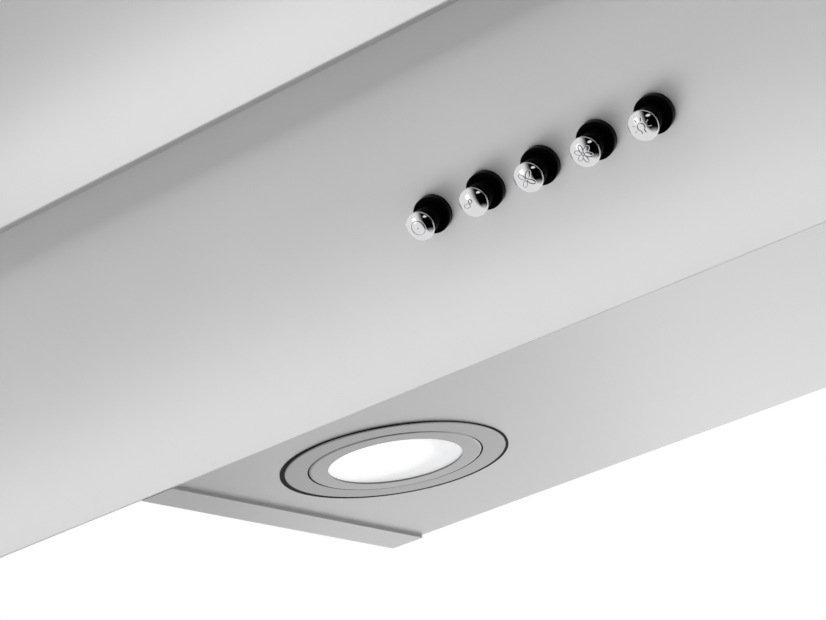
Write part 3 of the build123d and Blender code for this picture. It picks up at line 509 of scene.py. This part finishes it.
def cap(name, place, sign):
    """A closed cap turned about its axis: a black skirt, a chromed rim and a crown with its sign."""
    marks = KDTree(len(sign))
    for k, (x, y) in enumerate(sign):
        marks.insert((x, y, 0), k)
    marks.balance()
    slope = degrees(asin(crown_rim / crown_sphere))
    edge_height = crown_height(crown_rim) - cap_edge * cos(radians(slope))
    skirt = [(cap_skirt - cap_edge, 0), (cap_skirt, cap_edge), (cap_skirt, cap_seam)]
    edge_centre = (cap_radius - cap_edge, edge_height)
    rim = [(cap_radius, cap_seam), *rounded(edge_centre, cap_edge, 0, 90 - slope)]
    crown = [crown_rim * (1 - k / crown_rings) ** crown_crowding for k in range(1, crown_rings)]
    points, faces, depths = [Vector((0, 0, 0))], [], [0.0]
    for reach, high in skirt + rim + [(reach, None) for reach in crown]:
        for k in range(turned_sides):
            x, y = reach * cos(2 * pi * k / turned_sides), reach * sin(2 * pi * k / turned_sides)
            depth = 0.0
            if high is None:
                from_sign = marks.find((x, y, 0))[2]
                depth = 1 / (1 + (2 * from_sign / sign_line) ** sign_edge)
            level = crown_height(reach) - sign_depth * depth if high is None else high
            points.append(Vector((x, y, level)))
            depths.append(depth)
    points.append(Vector((0, 0, crown_height(0))))
    depths.append(0.0)
    ring_count = len(skirt) + len(rim) + len(crown)
    for k in range(turned_sides):
        after = (k + 1) % turned_sides
        faces.append((0, 1 + after, 1 + k))
        for ring in range(ring_count - 1):
            low = 1 + ring * turned_sides
            high = low + turned_sides
            faces.append((low + k, low + after, high + after, high + k))
        faces.append((high + k, high + after, len(points) - 1))
    piece = built(name, [place + facing @ point for point in points], faces)
    piece.data.attributes.new("sunk", "FLOAT", "POINT").data.foreach_set("value", depths)
    for finish in (chrome, black):
        piece.data.materials.append(finish)
    for face in piece.data.polygons:
        face.material_index = int(all((v - 1) // turned_sides < len(skirt) for v in face.vertices))
    piece.data.set_sharp_from_angle(angle=crease)
    return piece


caps = []
signs = (stop_sign(), low_sign(), fan_sign(count=4, first=45), fan_sign(count=6, first=30), lamp_sign())
for i, sign in enumerate(signs, start=1):
    piece = cap(f"chrome_cap_{i}", button_place(i, cap_seat), list(sign))
    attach(piece, f"button_{i}")
    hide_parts(f"button_cap_{i}")
    caps.append(piece)


def lit_group(name, pieces, state="INCLUDE"):
    """A collection that tells a lamp which pieces it lights, or which it spares."""
    group = bpy.data.collections.new(name)
    for piece in pieces:
        group.objects.link(piece)
    for member in group.collection_objects:
        member.light_linking.link_state = state
    return group


# Each strip lights the sheet that it is set for, and none shows in the caps.
panel_sheet, fascia_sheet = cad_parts["front_panel"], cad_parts["control_fascia"]
groups = (
    (panel_strips, lit_group("lit_by_panel_strips", [panel_sheet])),
    (fascia_strips, lit_group("lit_by_fascia_strips", [fascia_sheet])),
    (front_strips, lit_group("spared_by_front_strips", [*caps, panel_sheet], "EXCLUDE")),
)
for strips, group in groups:
    for strip in strips:
        strip.light_linking.receiver_collection = group

moulded, w = surface("black_matt_moulding")
leather = cells(w, 0.0007)
principled(w, {
    "Base Color": shades(w, grain(w, 0.02, 2.0), (0.030, 0.030, 0.031), (0.042, 0.042, 0.043)),
    "Roughness": 0.48 + leather * 0.15,
    "Normal": relief(w, leather, 0.00003),
})
dress(moulded, "switch_block")


# Lamps
# Two round lamps let into the tray. A satin ring sits on a black rubber washer, a bright inner
# ring holds the frosted pane, and a finned sink with leaf springs stands behind each.
lamp_sides = (-1, 1)
lamp_aside, lamp_setback = 0.1355, 0.0875
tray_underside = -0.3288
# painted shadow: these push each washer's rim out sideways and back, so it shows past the ring as a dark
# rim, widest on one side
shadow_crescent_aside, shadow_crescent_back = 0.0012, 0.0010
washer_radius = 0.0410
washer_hole = 0.0350
washer_thickness = 0.0003
washer_profile = [
    (washer_hole, -washer_thickness),
    (washer_radius, -washer_thickness),
    (washer_radius, 0),
    (washer_hole, 0),
]
washer_middle = (washer_radius + washer_hole) / 2
points, faces = [], []
for side in lamp_sides:
    place = Vector((side * lamp_aside, -lamp_setback, tray_underside))
    shadow_crescent_push = Vector((side * shadow_crescent_aside, shadow_crescent_back, 0))
    ring, sides = turned(washer_profile, turned_sides, len(points))
    points += [place + point + (shadow_crescent_push if point.length > washer_middle else Vector()) for point in ring]
    faces += sides
washers = built("rubber_washers", points, faces, smooth=False)
rubber, w = surface("black_rubber")
dust = grain(w, 0.0012, 3.0)
principled(w, {
    "Base Color": shades(w, dust, (0.002, 0.002, 0.002), (0.005, 0.005, 0.005)),
    "Roughness": 0.55 + dust * 0.2,
    "IOR": 1.15,
    "Normal": relief(w, dust, 0.00003),
})
washers.data.materials.append(rubber)
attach(washers, "casing")
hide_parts("lamp_seals")

spun, w = surface("satin_spun_ring")
brush = grain(w, 0.0008, 3.0)
principled(w, {
    "Base Color": shades(w, brush, (0.190, 0.190, 0.194), (0.225, 0.225, 0.229)),
    "Roughness": 0.30 + brush * 0.10,
    "Metallic": 1.0,
    "Normal": relief(w, brush, 0.000003),
})
dress(spun, "lamp_ring_left", "lamp_ring_right")

bright, w = surface("bright_bezel")
haze = grain(w, 0.002, 2.0)
principled(w, {
    "Base Color": shades(w, haze, (0.175, 0.175, 0.178), (0.200, 0.200, 0.204)),
    "Roughness": 0.26 + haze * 0.06,
    "Metallic": 1.0,
    "Normal": relief(w, haze, 0.000003),
})
dress(bright, "lamp_bezel_left", "lamp_bezel_right")

# The lit pane glows white in a disc off its middle; the rest is painted shade, a dimmer glow.
glow_outward, glow_forward = 0.004, 0.009
glow_full, glow_end = 0.0195, 0.0265
pane, w = surface("lit_frosted_pane")
pebble = cells(w, 0.0011)
place = w.node("ShaderNodeTexCoord", out="Object")
across = w.node("ShaderNodeSeparateXYZ", {}, {0: place}, out="X")
along = w.node("ShaderNodeSeparateXYZ", {}, {0: place}, out="Y")
across = (across * across) ** 0.5 - (lamp_aside + glow_outward)
along = along + (lamp_setback + glow_forward)
painted_shade_mask = rises((across * across + along * along) ** 0.5, glow_full, glow_end)
# painted shade: away from the disc the glow is dimmed and speckled, standing for the can's wall
painted_shade = painted_shade_mask * (0.75 + pebble * 0.4)
principled(w, {
    "Base Color": shades(w, pebble, (0.50, 0.505, 0.51), (0.56, 0.56, 0.56)),
    "Roughness": 0.30 + pebble * 0.2,
    "Emission Color": shades(w, painted_shade, (1.0, 1.0, 1.0), (0.76, 0.77, 0.78)),
    "Emission Strength": 0.70,
    "Normal": relief(w, pebble, 0.00008),
})
dress(pane, "lamp_glass_left", "lamp_glass_right")

anodised, w = surface("anodised_sink")
blast = grain(w, 0.0005, 2.0)
principled(w, {
    "Base Color": shades(w, blast, (0.56, 0.57, 0.58), (0.66, 0.67, 0.68)),
    "Roughness": 0.42 + blast * 0.1,
    "Metallic": 1.0,
    "Normal": relief(w, blast, 0.00001),
})
dress(anodised, "lamp_can_left", "lamp_can_right")


# Steel hinges, pins, springs and the motor shaft
# Bright steel with fine lines along the strip. The hinges and leaf springs are stamped from it,
# the shaft and the pins are drawn rod.
drawn, w = surface("drawn_steel")
lines = grain(w, 0.0004, 2.0, (30, 1, 1))
principled(w, {
    "Base Color": shades(w, lines, (0.47, 0.47, 0.48), (0.60, 0.60, 0.61)),
    "Roughness": 0.26 + lines * 0.16,
    "Metallic": 1.0,
    "Normal": relief(w, lines, 0.000008),
})
dress(drawn, "hinge_brackets", "hinge_arms", "hinge_pins", "motor_shaft", "flap_pin", "lamp_clips")


# Catch magnets
# Two sintered ferrite blocks on the filter wall hold the panel shut. Their faces are ground and
# a little porous.
ferrite, w = surface("ground_ferrite")
pores = cells(w, 0.0009)
principled(w, {
    "Base Color": shades(w, grain(w, 0.0015, 3.0), (0.022, 0.021, 0.021), (0.045, 0.043, 0.042)),
    "Roughness": 0.5 + pores * 0.2,
    "Normal": relief(w, pores, 0.00004),
})
dress(ferrite, "catch_magnets")


# Grease filters
# Two lift-out filters: a folded aluminium frame round a layer of expanded aluminium net. Each is
# held by a sprung latch of black plastic.
rolled, w = surface("rolled_aluminium")
lines = grain(w, 0.0005, 3.0, (1, 1, 40))
principled(w, {
    "Base Color": shades(w, lines, (0.62, 0.63, 0.64), (0.74, 0.75, 0.76)),
    "Roughness": 0.30 + lines * 0.12,
    "Metallic": 1.0,
    "Normal": relief(w, lines, 0.000006),
})
dress(rolled, "filter_frame_left", "filter_frame_right")

net, w = surface("expanded_net")
strands = cells(w, 0.0035, "DISTANCE_TO_EDGE")
edge = rises(strands, 0.02, 0.12)
principled(w, {
    "Base Color": shades(w, edge, (0.70, 0.71, 0.72), (0.42, 0.43, 0.44)),
    "Roughness": 0.32 + grain(w, 0.001) * 0.2,
    "Metallic": 1.0,
    "Normal": relief(w, edge, 0.0004),
})
dress(net, "filter_mesh_left", "filter_mesh_right")
dress(moulded, "filter_latch_left", "filter_latch_right")


# Blower
# A double inlet wheel in a scroll of two halves, all moulded in dark grey. The closed steel motor
# reaches into the wheel and hangs on a plated spider.
dark_moulding, w = surface("dark_grey_moulding")
mica = grain(w, 0.0009, 3.0)
principled(w, {
    "Base Color": shades(w, grain(w, 0.03, 2.0), (0.095, 0.097, 0.10), (0.13, 0.132, 0.135)),
    "Roughness": 0.42 + mica * 0.14,
    "Normal": relief(w, mica, 0.00002),
})
dress(dark_moulding, "scroll_left", "scroll_right", "impeller")

motor_skin, w = surface("motor_steel")
oil = grain(w, 0.012, 4.0)
principled(w, {
    "Base Color": shades(w, oil, (0.42, 0.42, 0.43), (0.56, 0.56, 0.57)),
    "Roughness": 0.28 + oil * 0.22,
    "Metallic": 1.0,
    "Normal": relief(w, grain(w, 0.0008, 2.0), 0.00001),
})
dress(motor_skin, "motor")


# Outlet collar and dampers
# A black moulded collar on the top sheet takes the duct. Two half round flaps of the same plastic
# swing in it on a steel pin, and the cable gland beside it matches.
collar_skin, w = surface("collar_moulding")
leather = cells(w, 0.0009)
principled(w, {
    "Base Color": shades(w, grain(w, 0.02, 2.0), (0.050, 0.050, 0.051), (0.070, 0.070, 0.071)),
    "Roughness": 0.42 + leather * 0.16,
    "Normal": relief(w, leather, 0.00003),
})
dress(collar_skin, "outlet_collar", "flap_front", "flap_back", "cable_gland")


# Electrics
# A pale moulded junction box on the back panel, and the motor's run capacitor in a smooth moulded
# can under it.
box_skin, w = surface("pale_box_moulding")
speck = cells(w, 0.0008)
principled(w, {
    "Base Color": shades(w, grain(w, 0.04, 2.0), (0.74, 0.74, 0.72), (0.81, 0.81, 0.79)),
    "Roughness": 0.44 + speck * 0.14,
    "Normal": relief(w, speck, 0.000025),
})
dress(box_skin, "junction_box")
can_skin, w = surface("capacitor_moulding")
speck = grain(w, 0.0006, 2.0)
principled(w, {
    "Base Color": shades(w, grain(w, 0.02, 2.0), (0.70, 0.70, 0.67), (0.78, 0.78, 0.75)),
    "Roughness": 0.30 + speck * 0.12,
    "Normal": relief(w, speck, 0.00001),
})
dress(can_skin, "capacitor")


# Chimney
# Two coated sheet covers. The upper one slides in the lower one, which hides most of its vents
# until it is drawn up to the ceiling.
dress(coat, "lower_chimney", "upper_chimney")


# Screws
# Small pan head screws of zinc plated steel, a little worn by the driver. They hold the hinges,
# the blower, the duct's collar and the chimney.
plated, w = surface("plated_screw")
wear = grain(w, 0.001, 3.0)
principled(w, {
    "Base Color": shades(w, wear, (0.56, 0.57, 0.59), (0.70, 0.71, 0.73)),
    "Roughness": 0.24 + wear * 0.16,
    "Metallic": 1.0,
    "Normal": relief(w, wear, 0.00001),
})
dress(plated, "casing_screws", "bracket_screws")
